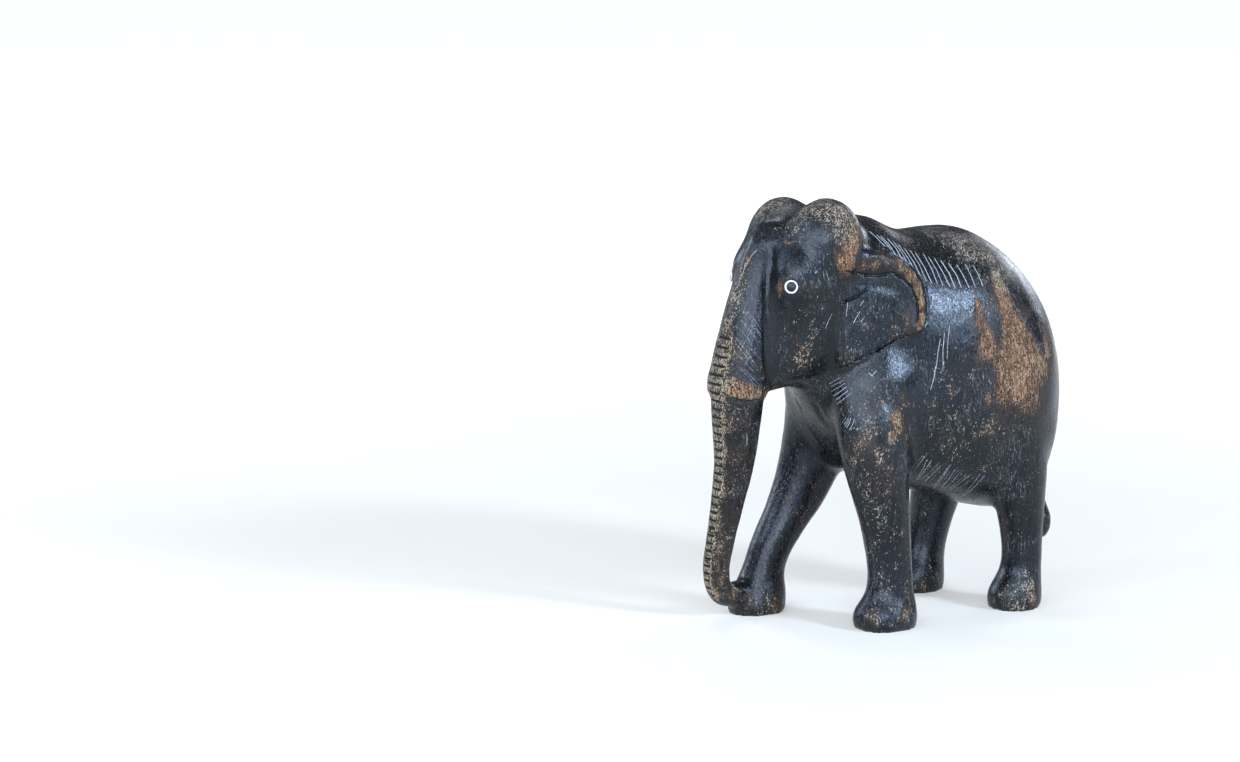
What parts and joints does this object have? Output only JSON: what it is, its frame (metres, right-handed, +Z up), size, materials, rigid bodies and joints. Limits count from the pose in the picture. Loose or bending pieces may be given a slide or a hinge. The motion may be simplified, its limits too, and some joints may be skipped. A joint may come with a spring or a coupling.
{
  "type": "wooden elephant statue",
  "caption": "Carved black-stained wooden elephant in a walking pose, its ridged trunk hanging down onto its right fore foot, with pale ring eyes and worn bare patches.",
  "frame": {"origin": "middle of the statue's bounding box, on the plane of the soles", "axes": "-Y the way the elephant faces, +X to its left, +Z up"},
  "size_m": [0.0676, 0.1494, 0.156],
  "materials": {
    "ebonised_wood": "black stain with a dull wax sheen, worn through to brown wood on the high places",
    "eye_inlay": "dull polished"
  },
  "bodies": {
    "root": {"elephant": "ebonised_wood", "eye_ring_left": "eye_inlay", "eye_ring_right": "eye_inlay"}
  },
  "joints": []
}
